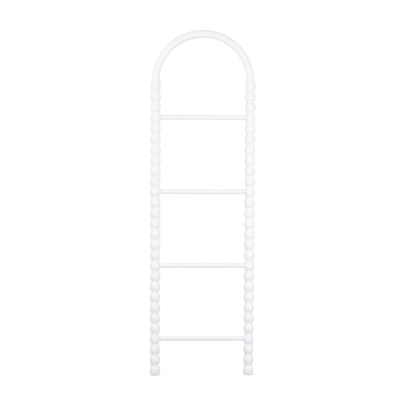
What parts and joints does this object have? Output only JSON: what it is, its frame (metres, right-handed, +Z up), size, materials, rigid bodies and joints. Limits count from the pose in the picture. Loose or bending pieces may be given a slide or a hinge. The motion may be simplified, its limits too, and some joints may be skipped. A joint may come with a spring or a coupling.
{
  "type": "towel ladder",
  "caption": "Leaning towel ladder with bobbin-turned legs, a half-round arch across the top and plain round rungs to hang towels on, all painted white.",
  "frame": {"origin": "on the floor, midway between the two feet, under the middle of the ladder's thickness", "axes": "+Z up along the legs, +X to the right across the rungs as seen from the front, +Y to the back (the wall)"},
  "size_m": [0.495, 0.05, 1.634],
  "materials": {
    "white_paint": "satin white paint on turned wood",
    "bare_beech": "bare, glued",
    "zinc_steel": "zinc plated",
    "white_nylon": "moulded, matt"
  },
  "bodies": {
    "root": {"left_leg": "white_paint", "right_leg": "white_paint", "top_arch": "white_paint", "top_rung": "white_paint", "upper_rung": "white_paint", "lower_rung": "white_paint", "bottom_rung": "white_paint", "top_rung_plugs": "white_paint", "upper_rung_plugs": "white_paint", "lower_rung_plugs": "white_paint", "bottom_rung_plugs": "white_paint", "left_arch_dowel": "bare_beech", "right_arch_dowel": "bare_beech", "top_rung_screws": "zinc_steel", "upper_rung_screws": "zinc_steel", "lower_rung_screws": "zinc_steel", "bottom_rung_screws": "zinc_steel", "left_glide_nail": "zinc_steel", "right_glide_nail": "zinc_steel", "left_foot_glide": "white_nylon", "right_foot_glide": "white_nylon"}
  },
  "joints": []
}
